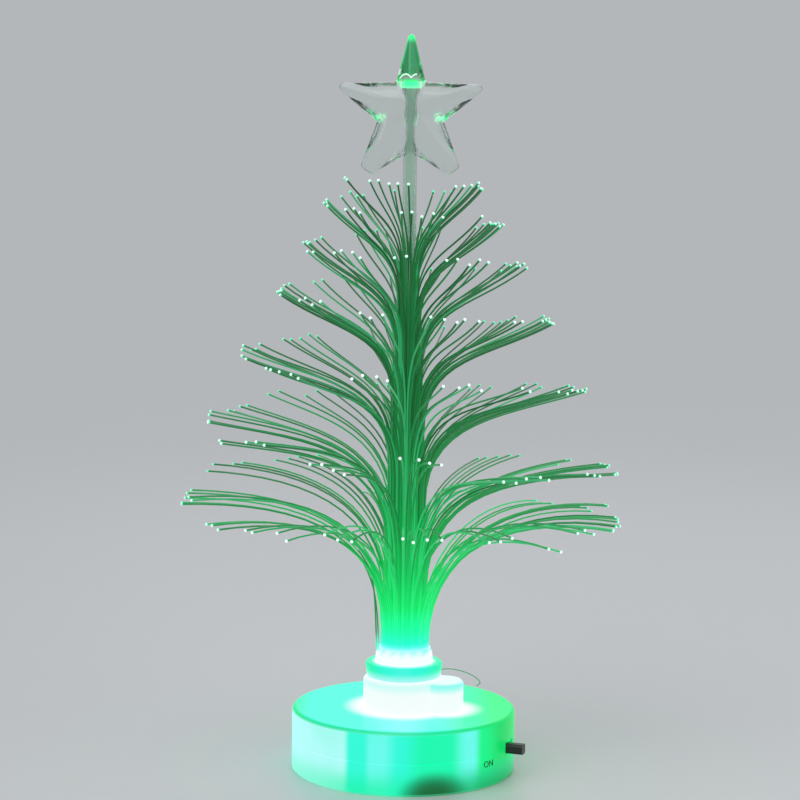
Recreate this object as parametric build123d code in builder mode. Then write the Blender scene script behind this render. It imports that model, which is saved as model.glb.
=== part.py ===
from build123d import *
import math
import os
import random

os.makedirs("parts", exist_ok=True)

# All sizes are in millimetres and all angles in degrees.
# The origin is the centre of the base's underside, +Z is up and -Y is the front.

# Shared clearances
overrun = 1.0
fit_gap = 0.1
rest_gap = 0.05

# Base housing
base_d = 60.0
base_h = 17.0
seam_z = 8.3
seam_gap = 0.2
wall_t = 1.6
floor_t = 1.6
shoulder_r = 1.5
foot_chamfer = 0.6
lip_h = 1.5
lip_share = 0.5

# Neck and side boss on the top shell
neck_d = 21.7
neck_top_z = 25.0
neck_bore_d = 17.6
neck_ledge_z = 19.6
light_hole_d = 13.0
rim_chamfer = 0.7
boss_d = 11.2
boss_x = 10.4
boss_y = -4.2

# Screw pillars
pillar_azimuths = (237.0, 60.0)
pillar_wall_gap = 2.1
pillar_d = 5.6
screw_d = 1.6
screw_hole_gap = 0.3
screw_head_d = 3.6
screw_head_h = 1.2
screw_seat_z = 3.0
screw_tip_z = 13.0

# Button cells and their bay
cell_d = 11.6
cell_h = 5.4
cell_gap = 0.3
cell_azimuths = (-68.0, 52.0, 172.0)
bay_azimuth = -54.0
bay_offset_share = 0.79
bay_wall_t = 1.4
bay_roof_t = 1.0
contact_t = 0.3
contact_w = 5.0
tab_w = 2.0
tab_gap = 0.2

# Battery door
door_ledge = 0.55
door_recess = 0.4
lug_reach = 1.5
lug_t = 0.65
lug_angle = 20.0
lug_play_angle = 2.0
door_turn_angle = 25.0
coin_slot_l = 12.0
coin_slot_w = 1.6
coin_slot_depth = 0.6

# Circuit board, lamp and resistor
board_l = 24.0
board_w = 15.0
board_t = 1.0
board_shift_x = -6.0
board_shift_y = 8.0
board_gap = 0.8
post_w = 2.4
post_x_share = 0.36
post_y_share = 0.34
led_d = 5.0
led_flange_d = 5.8
led_flange_h = 1.0
led_h = 8.6
led_leg_t = 0.5
led_leg_pitch = 2.54
led_leg_below = 0.6
resistor_d = 1.8
resistor_l = 4.0
resistor_lead_d = 0.5
resistor_lead_l = 1.6
resistor_x_share = 0.28
resistor_y_share = 0.1

# Slide switch
switch_azimuth = -19.0
switch_wall_gap = 0.5
switch_depth = 4.0
switch_w = 10.0
switch_h = 5.0
switch_wall_t = 0.7
switch_terminal_l = 2.6
switch_terminal_w = 0.6
switch_terminal_pitch = 2.5
lever_w = 3.0
lever_h = 2.7
lever_reach = 4.3
lever_round = 0.8
lever_shoe_w = 4.4
lever_shoe_h = 3.4
lever_shoe_t = 1.8
lever_travel = 3.0
lever_gap = 0.3
lever_play = 0.35

# Wires from the switch to the board
wire_d = 1.0
wire_sides = 6
wire_run = 2.2
wire_rise = 2.4
wire_x_share = 0.42
wire_y_shares = (0.05, 0.35)

# Ferrule and glue
ferrule_d = 20.7
ferrule_foot_d = 19.9
ferrule_gap = 0.4
ferrule_h = 3.7
ferrule_bore_d = 14.5
ferrule_lip_t = 1.0
ferrule_lip_d = 11.0
ferrule_chamfer = 0.5
glue_gap = 0.15
glue_t = 0.75
glue_h = 3.9
glue_shoulder_share = 0.65

# Rolled fibre mat
fibre_d = 0.5
fibre_corner_share = 0.6
fibre_count = 300
roll_turns = 6.8
roll_outer_r = 6.6
roll_start_azimuth = 110.0
strip_h = 5.0
strip_sides = 16
strip_margin = 0.01
strip_inside_share = 0.72
strip_end_share = 0.9
fibre_spread_r = 60.0
fibre_reach = 131.0
bend_drop_low_share = 0.262
bend_drop_high_share = 0.183
tip_wander = 0.9
clump_counts = (2, 5)
clump_wander = 2.4
clump_out_share = 0.45
clump_pull_share = 0.5
bend_step_angle = 27.0

# At each full turn of the roll: tip radius, tip height and the angle of the tip
tip_radius_shares = (0.975, 0.985, 0.865, 0.715, 0.57, 0.46, 0.365, 0.30)
tip_height_shares = (0.275, 0.368, 0.525, 0.662, 0.782, 0.874, 0.955, 0.995)
tip_slope_angles = (-9.0, 1.0, 14.0, 26.0, 36.0, 43.0, 49.0, 52.0)
bend_pull_share = 0.44

# Centre tube and star
rod_d = 3.7
rod_bore_d = 2.4
rod_top_z = 184.0
star_r = 19.7
star_centre_z = 176.1
star_tip_w = 2.0
star_tip_shares = (0.9, 1.1, 2.1, 2.1, 1.1)
star_notch_shares = (0.42, 0.47, 0.54, 0.47, 0.42)
star_slim_angle = 8.0
star_depth = 9.0
star_edge_t = 1.6
socket_wall_t = 0.95
socket_l = 11.0

# Sizes that follow from the ones above
base_r = base_d / 2
inner_r = base_r - wall_t
lip_outer_r = inner_r + wall_t * lip_share - fit_gap
neck_r = neck_d / 2
top_under_z = base_h - wall_t
pillar_ring_r = inner_r - pillar_wall_gap - pillar_d / 2
cell_ring_r = (cell_d + cell_gap) / 2 / math.sin(math.pi / len(cell_azimuths))
bay_r = cell_ring_r + cell_d / 2 + cell_gap
bay_offset = bay_offset_share * (inner_r - bay_r - bay_wall_t)
bay_x = bay_offset * math.cos(math.radians(bay_azimuth))
bay_y = bay_offset * math.sin(math.radians(bay_azimuth))
door_r = bay_r + door_ledge
door_opening_r = door_r + fit_gap
door_t = floor_t - door_recess
cell_z = floor_t + contact_t + rest_gap
cell_top_z = cell_z + cell_h
bay_roof_z = cell_top_z + rest_gap + contact_t
bay_top_z = bay_roof_z + bay_roof_t
board_x = bay_x + board_shift_x
board_y = bay_y + board_shift_y
board_z = bay_top_z + board_gap
led_z = board_z + board_t
collar_z = neck_top_z + ferrule_gap
collar_top_z = collar_z + ferrule_h
root_z = neck_ledge_z + rest_gap + ferrule_lip_t
switch_mid_z = seam_z + seam_gap / 2
switch_z = switch_mid_z - switch_h / 2
switch_outer_r = inner_r - switch_wall_gap
switch_inner_r = switch_outer_r - switch_depth
lever_tip_r = base_r + lever_reach
lever_rest_shift = -lever_travel / 2
fibre_corner_r = fibre_d * fibre_corner_share
roll_inner_r = rod_d / 2 + fit_gap + fibre_corner_r
bend_drop_low = fibre_reach * bend_drop_low_share
bend_drop_high = fibre_reach * bend_drop_high_share

bay_plane = Plane(origin=(bay_x, bay_y, 0))
switch_dir = (math.cos(math.radians(switch_azimuth)), math.sin(math.radians(switch_azimuth)), 0)


def polar_point(radius, azimuth):
    """The plan point at a radius and an azimuth about the base's centre."""
    return (radius * math.cos(math.radians(azimuth)), radius * math.sin(math.radians(azimuth)))


def switch_plane(radius, shift=0):
    """A plane that faces outwards at the switch, with X along its travel and Y up."""
    across = (-switch_dir[1], switch_dir[0], 0)
    centre = (
        switch_dir[0] * radius + across[0] * shift,
        switch_dir[1] * radius + across[1] * shift,
        switch_mid_z,
    )
    return Plane(origin=centre, x_dir=across, z_dir=switch_dir)


def ring_sector(inner, outer, start_angle, sweep_angle):
    """A face between two radii over a stretch of angle, in the sketch that is open."""
    with BuildLine() as edge_lines:
        outside = CenterArc((0, 0), outer, start_angle, sweep_angle)
        inside = CenterArc((0, 0), inner, start_angle, sweep_angle)
        Line(outside @ 0, inside @ 0)
        Line(outside @ 1, inside @ 1)
    make_face(edge_lines.edges())


def cell_point(azimuth):
    """The centre of a cell, in the bay's own plane."""
    return polar_point(cell_ring_r, azimuth)


def span_location(start, end):
    """The place midway between two plan points, turned along the line that joins them."""
    middle = (start + end) / 2
    return Location((middle.X, middle.Y), math.degrees(math.atan2(end.Y - start.Y, end.X - start.X)))


def save(built, label):
    built.part.label = label
    export_step(built.part, "parts/" + label + ".step")


# Top shell: the outside is turned in one profile, then the side boss joins it
with BuildPart() as top_shell:
    with BuildSketch(Plane.XZ) as shell_profile:
        with BuildLine():
            Polyline(
                (0, seam_z + seam_gap),
                (base_r, seam_z + seam_gap),
                (base_r, base_h),
                (neck_r, base_h),
                (neck_r, neck_top_z),
                (0, neck_top_z),
                close=True,
            )
        make_face()
        fillet(shell_profile.vertices().group_by(Axis.X)[-1].sort_by(Axis.Y)[-1], radius=shoulder_r)
        chamfer(shell_profile.vertices().group_by(Axis.Y)[-1].sort_by(Axis.X)[-1], length=rim_chamfer)
    revolve(axis=Axis.Z)
    with BuildSketch(Plane(origin=(boss_x, boss_y, 0), x_dir=(1, 0, 0), z_dir=(0, -1, 0))):
        with BuildLine():
            Polyline(
                (0, top_under_z),
                (boss_d / 2, top_under_z),
                (boss_d / 2, neck_top_z - rim_chamfer),
                (boss_d / 2 - rim_chamfer, neck_top_z),
                (0, neck_top_z),
                close=True,
            )
        make_face()
    revolve(axis=Axis(origin=(boss_x, boss_y, 0), direction=(0, 0, 1)))
    # The cavity, the lap joint, the light hole and the neck's bore are one turned cut
    with BuildSketch(Plane.XZ):
        with BuildLine():
            Polyline(
                (0, seam_z),
                (lip_outer_r + fit_gap, seam_z),
                (lip_outer_r + fit_gap, seam_z + lip_h + fit_gap),
                (inner_r, seam_z + lip_h + fit_gap),
                (inner_r, top_under_z),
                (light_hole_d / 2, top_under_z),
                (light_hole_d / 2, neck_ledge_z),
                (neck_bore_d / 2, neck_ledge_z),
                (neck_bore_d / 2, neck_top_z + overrun),
                (0, neck_top_z + overrun),
                close=True,
            )
        make_face()
    revolve(axis=Axis.Z, mode=Mode.SUBTRACT)
    # Pillars hang from the roof and take the screws
    with BuildSketch(Plane.XY.offset(seam_z + seam_gap)):
        with Locations(*[polar_point(pillar_ring_r, azimuth) for azimuth in pillar_azimuths]):
            Circle(pillar_d / 2)
    extrude(until=Until.NEXT)
    with BuildSketch(Plane.XY.offset(seam_z)):
        with Locations(*[polar_point(pillar_ring_r, azimuth) for azimuth in pillar_azimuths]):
            Circle(screw_d / 2 + rest_gap)
    extrude(amount=screw_tip_z + screw_hole_gap - seam_z, mode=Mode.SUBTRACT)
    # Upper half of the lever's slot
    with BuildSketch(switch_plane(inner_r - overrun)):
        Rectangle(lever_w + lever_travel + 2 * lever_gap, lever_h + 2 * lever_gap)
    extrude(amount=wall_t + 2 * overrun, mode=Mode.SUBTRACT)
save(top_shell, "top_shell")

# Bottom cover: floor, wall and the lip that laps inside the top shell
with BuildPart() as bottom_cover:
    with BuildSketch(Plane.XZ):
        with BuildLine():
            Polyline(
                (0, 0),
                (base_r - foot_chamfer, 0),
                (base_r, foot_chamfer),
                (base_r, seam_z),
                (lip_outer_r, seam_z),
                (lip_outer_r, seam_z + lip_h),
                (inner_r, seam_z + lip_h),
                (inner_r, floor_t),
                (0, floor_t),
                close=True,
            )
        make_face()
    revolve(axis=Axis.Z)
    # The bay for the cells is a drum on the floor with a roof
    with BuildSketch(bay_plane):
        Circle(bay_r + bay_wall_t)
    extrude(amount=bay_top_z)
    with BuildSketch(bay_plane.offset(-overrun)):
        Circle(bay_r)
    extrude(amount=bay_roof_z + overrun, mode=Mode.SUBTRACT)
    with BuildSketch(bay_plane.offset(-overrun)):
        Circle(door_opening_r)
    extrude(amount=floor_t + overrun, mode=Mode.SUBTRACT)
    # Each lug has an entry notch and a groove that it turns into
    lug_ring_r = door_opening_r + lug_reach
    groove_floor_z = floor_t - lug_t - 2 * fit_gap
    for azimuth in cell_azimuths:
        with BuildSketch(bay_plane.offset(groove_floor_z)):
            groove_start = azimuth - lug_angle / 2 - lug_play_angle
            groove_sweep = lug_angle + 2 * lug_play_angle + door_turn_angle
            ring_sector(door_r - fit_gap, lug_ring_r, groove_start, groove_sweep)
        extrude(amount=floor_t - groove_floor_z, mode=Mode.SUBTRACT)
        with BuildSketch(bay_plane.offset(-overrun)):
            notch_start = groove_start + door_turn_angle
            ring_sector(door_r - fit_gap, lug_ring_r, notch_start, lug_angle + 2 * lug_play_angle)
        extrude(amount=floor_t + overrun, mode=Mode.SUBTRACT)
    # Columns under the pillars, counterbored for the screws
    with BuildSketch():
        with Locations(*[polar_point(pillar_ring_r, azimuth) for azimuth in pillar_azimuths]):
            Circle(pillar_d / 2)
    extrude(amount=seam_z + seam_gap)
    for azimuth in pillar_azimuths:
        with Locations(Plane(origin=(*polar_point(pillar_ring_r, azimuth), 0), z_dir=(0, 0, -1))):
            CounterBoreHole(
                radius=screw_d / 2 + screw_hole_gap,
                counter_bore_radius=screw_head_d / 2 + fit_gap,
                counter_bore_depth=screw_seat_z,
            )
    # Cradle for the switch: a block below it and a cheek at each end
    block_h = switch_z - rest_gap - floor_t
    with BuildSketch(switch_plane(switch_inner_r - wall_t)):
        with Locations((0, floor_t + block_h / 2 - switch_mid_z)):
            Rectangle(switch_w + 2 * wall_t, block_h)
    extrude(amount=switch_depth + wall_t + fit_gap)
    cheek_h = seam_z - floor_t
    for side in (-1, 1):
        cheek_x = side * (switch_w / 2 + fit_gap + wall_t / 2)
        with BuildSketch(switch_plane(switch_inner_r)):
            with Locations((cheek_x, floor_t + cheek_h / 2 - switch_mid_z)):
                Rectangle(wall_t, cheek_h)
        extrude(amount=switch_depth)
    with BuildSketch(switch_plane(switch_inner_r - fit_gap)):
        Rectangle(switch_w + 2 * fit_gap, switch_h + 2 * rest_gap)
    extrude(amount=inner_r - switch_inner_r - fit_gap, mode=Mode.SUBTRACT)
    with BuildSketch(switch_plane(inner_r - overrun)):
        Rectangle(lever_w + lever_travel + 2 * lever_gap, lever_h + 2 * lever_gap)
    extrude(amount=wall_t + 2 * overrun, mode=Mode.SUBTRACT)
    # Posts that the board rests on, two on the bay's roof and one on the floor
    posts = (
        (board_x + board_l * post_x_share, board_y - board_w * post_y_share, bay_top_z),
        (board_x, board_y - board_w * post_y_share, bay_top_z),
        (board_x - board_l * post_x_share, board_y + board_w * post_y_share, floor_t),
    )
    for x, y, z in posts:
        with BuildSketch(Plane.XY.offset(z - rest_gap)):
            with Locations((x, y)):
                Rectangle(post_w, post_w)
        extrude(amount=board_z - z + rest_gap)
    # Slots that let the contact tabs through the bay's roof and wall
    with BuildSketch(bay_plane.offset(bay_roof_z - overrun)):
        with Locations(cell_point(cell_azimuths[1])):
            Rectangle(tab_w + 2 * tab_gap, contact_t + 2 * tab_gap)
    extrude(amount=bay_roof_t + 2 * overrun, mode=Mode.SUBTRACT)
    with BuildSketch(bay_plane.offset(floor_t + rest_gap)):
        with Locations(Location((0, 0, 0), cell_azimuths[2])):
            with Locations((bay_r + bay_wall_t / 2, 0)):
                Rectangle(bay_wall_t + 2 * tab_gap, tab_w + 2 * tab_gap)
    extrude(amount=contact_t + 2 * tab_gap, mode=Mode.SUBTRACT)
save(bottom_cover, "bottom_cover")

# Cover screws
with BuildPart() as cover_screws:
    with BuildSketch(Plane.XY.offset(screw_seat_z - screw_head_h)):
        with Locations(*[polar_point(pillar_ring_r, azimuth) for azimuth in pillar_azimuths]):
            Circle(screw_head_d / 2)
    extrude(amount=screw_head_h)
    with BuildSketch(Plane.XY.offset(screw_seat_z)):
        with Locations(*[polar_point(pillar_ring_r, azimuth) for azimuth in pillar_azimuths]):
            Circle(screw_d / 2)
    extrude(amount=screw_tip_z - screw_seat_z)
save(cover_screws, "cover_screws")

# Battery door: a disc with three lugs that turn into the floor's grooves
with BuildPart() as battery_door:
    with BuildSketch(bay_plane.offset(door_recess)):
        Circle(door_r)
    extrude(amount=door_t)
    for azimuth in cell_azimuths:
        with BuildSketch(bay_plane.offset(floor_t - fit_gap - lug_t)):
            ring_sector(door_r - wall_t, door_r + lug_reach, azimuth - lug_angle / 2, lug_angle)
        extrude(amount=lug_t)
    with BuildSketch(bay_plane.offset(door_recess - overrun)):
        SlotOverall(coin_slot_l, coin_slot_w)
    extrude(amount=coin_slot_depth + overrun, mode=Mode.SUBTRACT)
save(battery_door, "battery_door")

# Contact on the door: a strip that joins the undersides of two cells
cell_a = Vector(*cell_point(cell_azimuths[0]))
cell_b = Vector(*cell_point(cell_azimuths[1]))
cell_c = Vector(*cell_point(cell_azimuths[2]))
with BuildPart() as door_contact:
    with BuildSketch(bay_plane.offset(floor_t)):
        with Locations(span_location(cell_a, cell_b)):
            Rectangle((cell_b - cell_a).length + contact_w, contact_w)
    extrude(amount=contact_t)
save(door_contact, "door_contact")

# Button cells
for number, azimuth in enumerate(cell_azimuths, start=1):
    with BuildPart() as button_cell:
        with BuildSketch(bay_plane.offset(cell_z)):
            with Locations(cell_point(azimuth)):
                Circle(cell_d / 2)
        extrude(amount=cell_h)
    save(button_cell, "button_cell_" + str(number))

# Upper bridge: joins the tops of two cells under the bay's roof
with BuildPart() as bridge_contact:
    with BuildSketch(bay_plane.offset(bay_roof_z - contact_t)):
        with Locations(span_location(cell_a, cell_c)):
            Rectangle((cell_a - cell_c).length + contact_w, contact_w)
    extrude(amount=contact_t)
save(bridge_contact, "bridge_contact")

# Positive contact: a plate over one cell with a tab up to the board
with BuildPart() as positive_contact:
    with BuildSketch(bay_plane.offset(bay_roof_z - contact_t)):
        with Locations(cell_point(cell_azimuths[1])):
            Rectangle(contact_w, contact_w)
    extrude(amount=contact_t)
    with BuildSketch(bay_plane.offset(bay_roof_z - contact_t)):
        with Locations(cell_point(cell_azimuths[1])):
            Rectangle(tab_w, contact_t)
    extrude(amount=board_z - rest_gap - bay_roof_z + contact_t)
save(positive_contact, "positive_contact")

# Negative contact: a leaf under one cell, out through the wall and up outside
with BuildPart() as negative_contact:
    leaf_end_r = bay_r + bay_wall_t + tab_gap + contact_t
    with BuildSketch(bay_plane.offset(floor_t + rest_gap)):
        with Locations(Location((0, 0, 0), cell_azimuths[2])):
            with Locations(((cell_ring_r + leaf_end_r) / 2, 0)):
                Rectangle(leaf_end_r - cell_ring_r, tab_w)
    extrude(amount=contact_t - rest_gap)
    with BuildSketch(bay_plane.offset(floor_t + rest_gap)):
        with Locations(Location((0, 0, 0), cell_azimuths[2])):
            with Locations((leaf_end_r - contact_t / 2, 0)):
                Rectangle(contact_t, tab_w)
    extrude(amount=board_z - rest_gap - floor_t - rest_gap)
save(negative_contact, "negative_contact")

# Circuit board, with holes for the lamp's legs
leg_points = [(0, -led_leg_pitch / 2), (0, led_leg_pitch / 2)]
with BuildPart() as circuit_board:
    with BuildSketch(Plane.XY.offset(board_z)):
        with Locations((board_x, board_y)):
            Rectangle(board_l, board_w)
        with Locations(*leg_points):
            Rectangle(led_leg_t + fit_gap, led_leg_t + fit_gap, mode=Mode.SUBTRACT)
    extrude(amount=board_t)
save(circuit_board, "circuit_board")

# Lamp: flange, barrel and dome
with BuildPart() as led_lamp:
    with BuildSketch(Plane.XZ):
        with BuildLine():
            Polyline(
                (0, led_z + led_h),
                (0, led_z),
                (led_flange_d / 2, led_z),
                (led_flange_d / 2, led_z + led_flange_h),
                (led_d / 2, led_z + led_flange_h),
                (led_d / 2, led_z + led_h - led_d / 2),
            )
            CenterArc((0, led_z + led_h - led_d / 2), led_d / 2, 0, 90)
        make_face()
    revolve(axis=Axis.Z)
save(led_lamp, "led_lamp")

# The lamp's two legs reach through the board
with BuildPart() as led_legs:
    with BuildSketch(Plane.XY.offset(board_z - led_leg_below)):
        with Locations(*leg_points):
            Rectangle(led_leg_t, led_leg_t)
    extrude(amount=board_t + led_leg_below)
save(led_legs, "led_legs")

# Resistor: a barrel with a lead at each end, lying on the board
resistor_x = board_x - board_l * resistor_x_share
resistor_y = board_y - board_w * resistor_y_share
resistor_plane = Plane(origin=(resistor_x, resistor_y, led_z + resistor_d / 2 + rest_gap), z_dir=(0, 1, 0))
with BuildPart() as resistor:
    with BuildSketch(resistor_plane):
        RegularPolygon(resistor_d / 2, 2 * wire_sides)
    extrude(amount=resistor_l / 2, both=True)
    with BuildSketch(resistor_plane):
        RegularPolygon(resistor_lead_d / 2, wire_sides)
    extrude(amount=resistor_l / 2 + resistor_lead_l, both=True)
    lead_end = resistor_l / 2 + resistor_lead_l - resistor_lead_d / 2
    for side in (-1, 1):
        with BuildSketch(Plane.XY.offset(led_z)):
            with Locations((resistor_x, resistor_y + side * lead_end)):
                Rectangle(resistor_lead_d, resistor_lead_d)
        extrude(amount=resistor_d / 2 + rest_gap)
save(resistor, "resistor")

# Switch housing: a can with a window that the lever slides in
with BuildPart() as switch_housing:
    with BuildSketch(switch_plane(switch_inner_r)):
        Rectangle(switch_w, switch_h)
    extrude(amount=switch_depth)
    with BuildSketch(switch_plane(switch_inner_r + switch_wall_t)):
        Rectangle(lever_shoe_w + lever_travel + 2 * lever_play, lever_shoe_h + 2 * fit_gap)
    extrude(amount=switch_depth - 2 * switch_wall_t, mode=Mode.SUBTRACT)
    with BuildSketch(switch_plane(switch_outer_r - switch_wall_t - fit_gap)):
        Rectangle(lever_w + lever_travel + 2 * lever_gap, lever_h + 2 * fit_gap)
    extrude(amount=switch_wall_t + overrun, mode=Mode.SUBTRACT)
save(switch_housing, "switch_housing")

# Switch terminals: three pins on the inner face, above the bay
terminal_z = switch_h / 2 - switch_wall_t
with BuildPart() as switch_terminals:
    with BuildSketch(switch_plane(switch_inner_r)):
        with Locations((0, terminal_z)):
            with GridLocations(switch_terminal_pitch, 0, 3, 1):
                Rectangle(switch_terminal_w, contact_t)
    extrude(amount=-switch_terminal_l)
save(switch_terminals, "switch_terminals")

# Switch lever: a shoe in the housing and a stem out through the wall
with BuildPart() as switch_lever:
    shoe_r = switch_inner_r + switch_wall_t + fit_gap
    with BuildSketch(switch_plane(shoe_r, lever_rest_shift)):
        Rectangle(lever_shoe_w, lever_shoe_h)
    extrude(amount=lever_shoe_t)
    with BuildSketch(switch_plane(shoe_r, lever_rest_shift)):
        RectangleRounded(lever_w, lever_h, lever_round)
    extrude(amount=lever_tip_r - shoe_r)
save(switch_lever, "switch_lever")

# Wires: from two of the terminals, up and over to the board's edge
wire_shifts = (-switch_terminal_pitch, 0)
wire_landings = [
    (board_x + board_l * wire_x_share, board_y + board_w * share) for share in wire_y_shares
]
for name, shift, landing in zip(("red_wire", "black_wire"), wire_shifts, wire_landings):
    wire_start = switch_plane(switch_inner_r - switch_terminal_l, shift).origin + Vector(0, 0, terminal_z)
    inward = Vector(*switch_dir) * -1
    with BuildPart() as wire:
        with BuildLine() as wire_path:
            Polyline(
                wire_start,
                wire_start + inward * wire_run,
                Vector(*landing, led_z + wire_rise),
                Vector(*landing, led_z + rest_gap),
            )
        with BuildSketch(Plane(origin=wire_start, z_dir=inward)):
            RegularPolygon(wire_d / 2, wire_sides)
        sweep(path=wire_path.line, transition=Transition.RIGHT)
    save(wire, name)

# Ferrule: a plug for the neck, a collar above it and a lip that carries the fibres
with BuildPart() as ferrule:
    plug_r = neck_bore_d / 2 - fit_gap
    with BuildSketch(Plane.XZ):
        with BuildLine():
            Polyline(
                (ferrule_lip_d / 2, neck_ledge_z + rest_gap),
                (plug_r, neck_ledge_z + rest_gap),
                (plug_r, collar_z),
                (ferrule_foot_d / 2, collar_z),
                (ferrule_d / 2, collar_top_z - ferrule_chamfer),
                (ferrule_d / 2 - ferrule_chamfer, collar_top_z),
                (ferrule_bore_d / 2, collar_top_z),
                (ferrule_bore_d / 2, root_z),
                (ferrule_lip_d / 2, root_z),
                close=True,
            )
        make_face()
    revolve(axis=Axis.Z)
save(ferrule, "ferrule")

# Glue ring: set round the foot of the fibres on the collar's rim
glue_inner_r = roll_outer_r + fibre_corner_r + strip_margin + glue_gap
with BuildPart() as glue_ring:
    glue_foot_z = collar_top_z + rest_gap
    with BuildSketch(Plane.XZ):
        with BuildLine():
            Polyline(
                (glue_inner_r, glue_foot_z),
                (glue_inner_r + glue_t, glue_foot_z),
                (glue_inner_r + glue_t * glue_shoulder_share, glue_foot_z + glue_h * glue_shoulder_share),
                (glue_inner_r, glue_foot_z + glue_h),
                close=True,
            )
        make_face()
    revolve(axis=Axis.Z)
save(glue_ring, "glue_ring")


# Rolled fibre mat. The fibres stand side by side in a strip that is rolled
# up round the tube, so the outermost are the lowest and the innermost the highest.
def at_turn(shares, turn):
    """A value from a table with one entry for each full turn, eased between entries."""
    low = min(int(turn), len(shares) - 2)
    part_turn = turn - low
    before = shares[max(low - 1, 0)]
    after = shares[min(low + 2, len(shares) - 1)]
    start, end = shares[low], shares[low + 1]
    bend = (2 * before - 5 * start + 4 * end - after) * part_turn
    curl = 3 * start - before - 3 * end + after
    return start + part_turn * (end - before + bend + curl * part_turn * part_turn) / 2


def roll_corner(turn, shift=0):
    """A plan point on the smooth spiral that the corners of the rolled strip follow."""
    radius = roll_outer_r - (roll_outer_r - roll_inner_r) * turn / roll_turns
    return Vector(*polar_point(radius + shift, roll_start_azimuth - 360 * turn))


def roll_point(turn, shift=0):
    """A plan point on the rolled strip, which is flat between its corners."""
    corner = math.floor(turn * strip_sides)
    before = roll_corner(corner / strip_sides, shift)
    after = roll_corner((corner + 1) / strip_sides, shift)
    return before + (after - before) * (turn * strip_sides - corner)


def fibre_turn(number):
    """The turn at which a fibre stands, with an even pitch along the rolled mat."""
    share = (number + 1 / 2) / fibre_count
    radius = math.sqrt(roll_outer_r**2 - (roll_outer_r**2 - roll_inner_r**2) * share)
    return roll_turns * (roll_outer_r - radius) / (roll_outer_r - roll_inner_r)


def clump_fibres(draw):
    """For each fibre the middle of its clump and how far the clump's tips stand in and up."""
    clumps = []
    while len(clumps) < fibre_count:
        size = min(draw.randint(*clump_counts), fibre_count - len(clumps))
        middle = (fibre_turn(len(clumps)) + fibre_turn(len(clumps) + size - 1)) / 2
        # The tips keep closer to their line towards the top
        reach = clump_wander * at_turn(tip_radius_shares, middle) ** 2
        clump_in = draw.uniform(-clump_out_share, 1) * reach
        clump_up = draw.uniform(-1, 1) * reach
        clumps += [(middle, clump_in, clump_up)] * size
    return clumps


def fibre_points(turn, clump, draw):
    """Corner points of one fibre: up the trunk, then out along a bend to its tip."""
    middle, clump_in, clump_up = clump
    foot = roll_point(turn)
    foot_r = foot.length
    azimuth = math.degrees(math.atan2(foot.Y, foot.X))
    turn_angle = math.degrees(draw.uniform(-1, 1) * tip_wander / fibre_spread_r)
    turn_angle += clump_pull_share * 360 * (turn - middle)
    tip_r = fibre_spread_r * at_turn(tip_radius_shares, turn) - draw.uniform(0, 1) * tip_wander - clump_in
    tip_z = collar_top_z + fibre_reach * at_turn(tip_height_shares, turn)
    tip_z += draw.uniform(-1, 1) * tip_wander + clump_up
    slope = math.radians(at_turn(tip_slope_angles, turn))
    bend_z = tip_z - bend_drop_low + (bend_drop_low - bend_drop_high) * turn / roll_turns
    pull = bend_pull_share * math.dist((foot_r, bend_z), (tip_r, tip_z))
    pulls = (
        (foot_r, bend_z),
        (foot_r, bend_z + pull),
        (tip_r - pull * math.cos(slope), tip_z - pull * math.sin(slope)),
        (tip_r, tip_z),
    )
    chords = max(2, round((90 - math.degrees(slope)) / bend_step_angle))
    points = [foot + Vector(0, 0, root_z + rest_gap + strip_h - fibre_d)]
    for step in range(chords + 1):
        t = step / chords
        weights = ((1 - t) ** 3, 3 * t * (1 - t) ** 2, 3 * t * t * (1 - t), t**3)
        radius = sum(weight * pull_point[0] for weight, pull_point in zip(weights, pulls))
        height = sum(weight * pull_point[1] for weight, pull_point in zip(weights, pulls))
        swing = turn_angle * (1 - foot_r / radius)
        points.append(Vector(*polar_point(radius, azimuth + swing), height))
    return points


def fibre(points):
    """One three-sided fibre, swept with mitred corners along its points."""
    with BuildLine(mode=Mode.PRIVATE) as path:
        Polyline(*points)
    foot = Plane(origin=points[0], x_dir=(points[0].X, points[0].Y, 0), z_dir=(0, 0, 1))
    with BuildSketch(foot, mode=Mode.PRIVATE) as section:
        RegularPolygon(fibre_corner_r, 3)
    return sweep(
        section.sketch,
        path=path.line,
        transition=Transition.RIGHT,
        clean=False,
        mode=Mode.PRIVATE,
    )


wander = random.Random(11)
tier_count = math.ceil(roll_turns)
clumps = clump_fibres(wander)
fibre_turns = [fibre_turn(number) for number in range(fibre_count)]
for tier in range(tier_count):
    tier_clumps = [(turn, clump) for turn, clump in zip(fibre_turns, clumps) if tier <= turn < tier + 1]
    strands = [fibre(fibre_points(turn, clump, wander)) for turn, clump in tier_clumps]
    tier_turns = [turn for turn, clump in tier_clumps]
    # The slice of the mat's bonded strip that holds this turn's fibres
    strip_end = (tier_turns[1] - tier_turns[0]) / 2 * strip_end_share
    first, last = tier_turns[0] - strip_end, tier_turns[-1] + strip_end
    corners = range(math.ceil(first * strip_sides), math.floor(last * strip_sides) + 1)
    strip_turns = [first] + [corner / strip_sides for corner in corners] + [last]
    outer_line = [roll_point(turn, fibre_corner_r + strip_margin) for turn in strip_turns]
    inner_line = [roll_point(turn, -fibre_corner_r * strip_inside_share) for turn in reversed(strip_turns)]
    with BuildPart() as fibre_tier:
        with BuildSketch(Plane.XY.offset(root_z + rest_gap)):
            with BuildLine():
                Polyline(*outer_line, *inner_line, close=True)
            make_face()
        extrude(amount=strip_h)
        add([solid for strand in strands for solid in strand.solids()])
    save(fibre_tier, "fibre_tier_" + str(tier + 1))

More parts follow.
